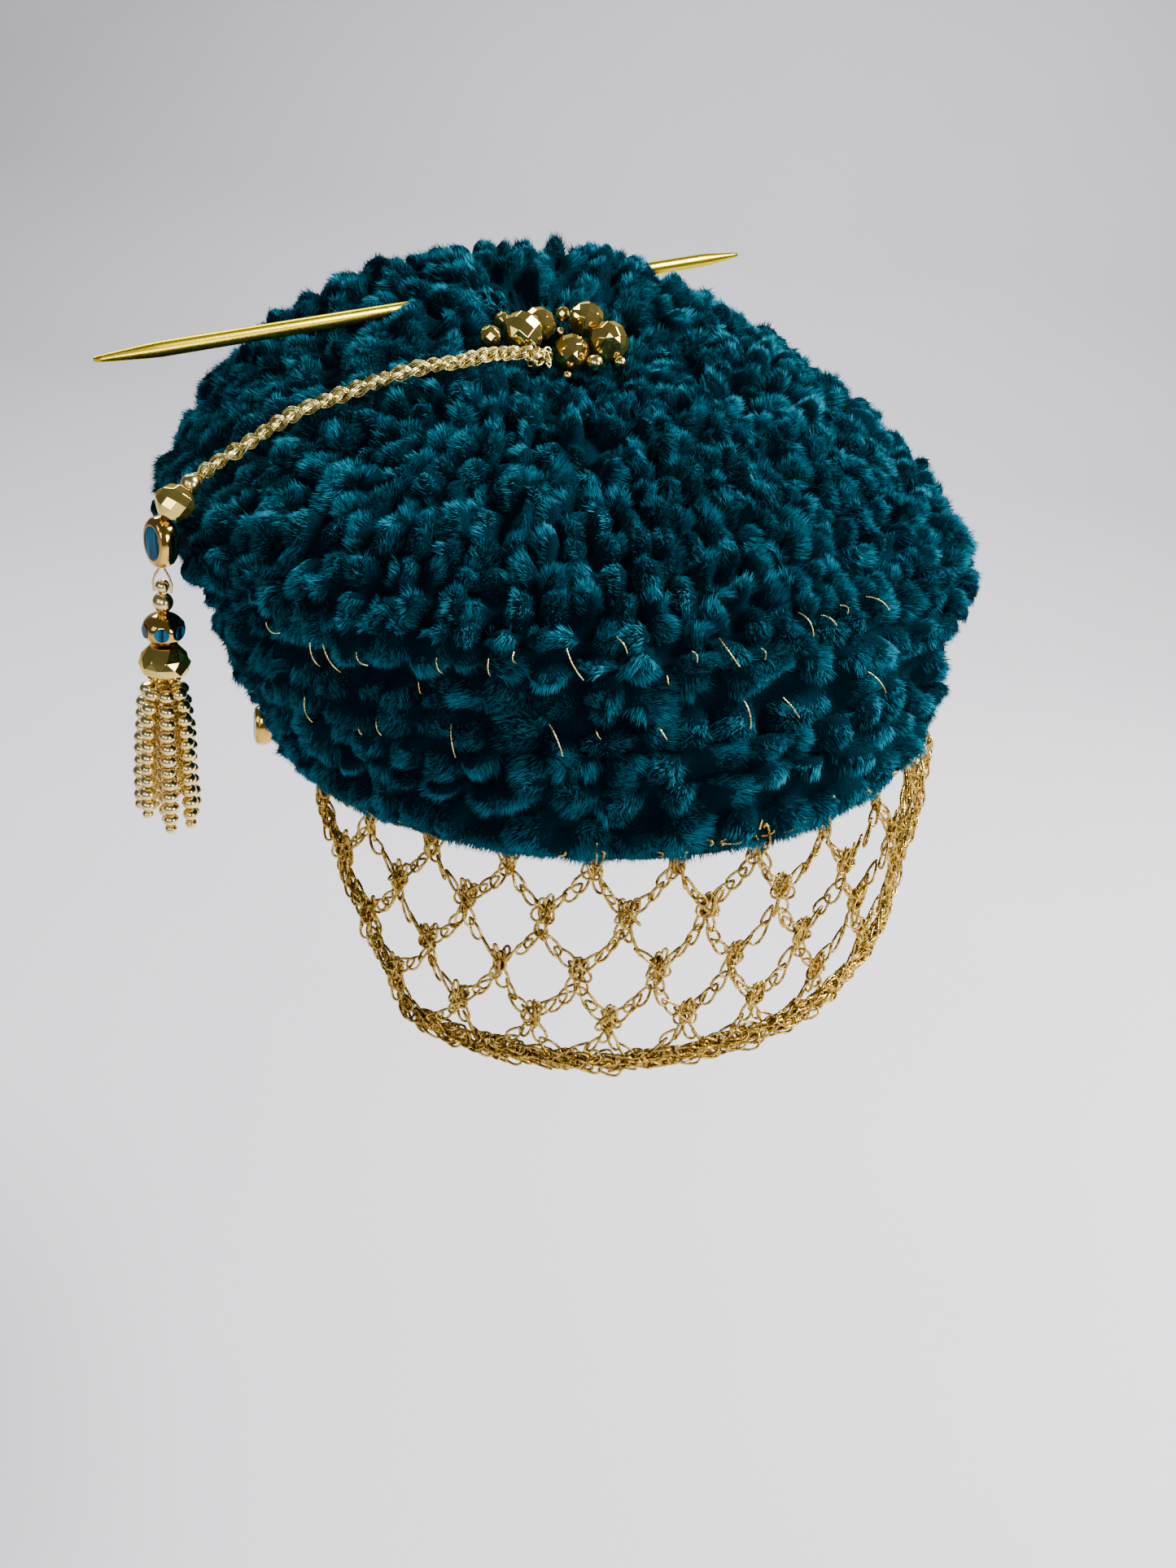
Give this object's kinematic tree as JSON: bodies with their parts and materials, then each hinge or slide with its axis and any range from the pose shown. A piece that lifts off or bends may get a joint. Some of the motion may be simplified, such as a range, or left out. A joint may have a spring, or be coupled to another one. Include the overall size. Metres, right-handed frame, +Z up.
{
  "type": "knitted cocktail hat",
  "caption": "Puffed chenille beret with a crocheted face net, a needle through its crown, a bead cluster and a chain ending in a bead tassel.",
  "frame": {"origin": "middle of the head opening, where the hat sits on a head", "axes": "+Z up along the head, -Y towards the wearer's face, +X towards the wearer's left side"},
  "size_m": [0.2178, 0.2142, 0.1587],
  "materials": {
    "teal_chenille": "deep pile of bulky chenille yarn",
    "gold_thread": "crocheted metallic thread",
    "anodised_gold": "anodised, satin",
    "gold_bead": "mirror coated cut glass",
    "window_glass": "polished dark blue glass with a gilt rim"
  },
  "bodies": {
    "root": {"bead_tassel": "gold_bead", "chain_faceted_bead": "gold_bead", "chain_round_bead": "gold_bead", "cluster_bead_1": "gold_bead", "cluster_bead_2": "gold_bead", "cluster_bead_3": "gold_bead", "cluster_bead_4": "gold_bead", "cluster_bead_5": "gold_bead", "cluster_bead_6": "gold_bead", "cluster_bead_7": "gold_bead", "cluster_rondelle_1": "gold_bead", "cluster_rondelle_2": "gold_bead", "cluster_rondelle_3": "gold_bead", "cluster_rondelle_4": "gold_bead", "cluster_rondelle_5": "gold_bead", "crown": "teal_chenille", "face_net": "gold_thread", "needle": "anodised_gold", "round_window_bead": "window_glass", "seed_bead_1": "gold_bead", "seed_bead_2": "gold_bead", "side_bead": "window_glass", "tassel_chain": "gold_thread", "tassel_rondelle": "gold_bead", "window_bead": "window_glass", "wire_loop": "gold_bead"}
  },
  "joints": []
}
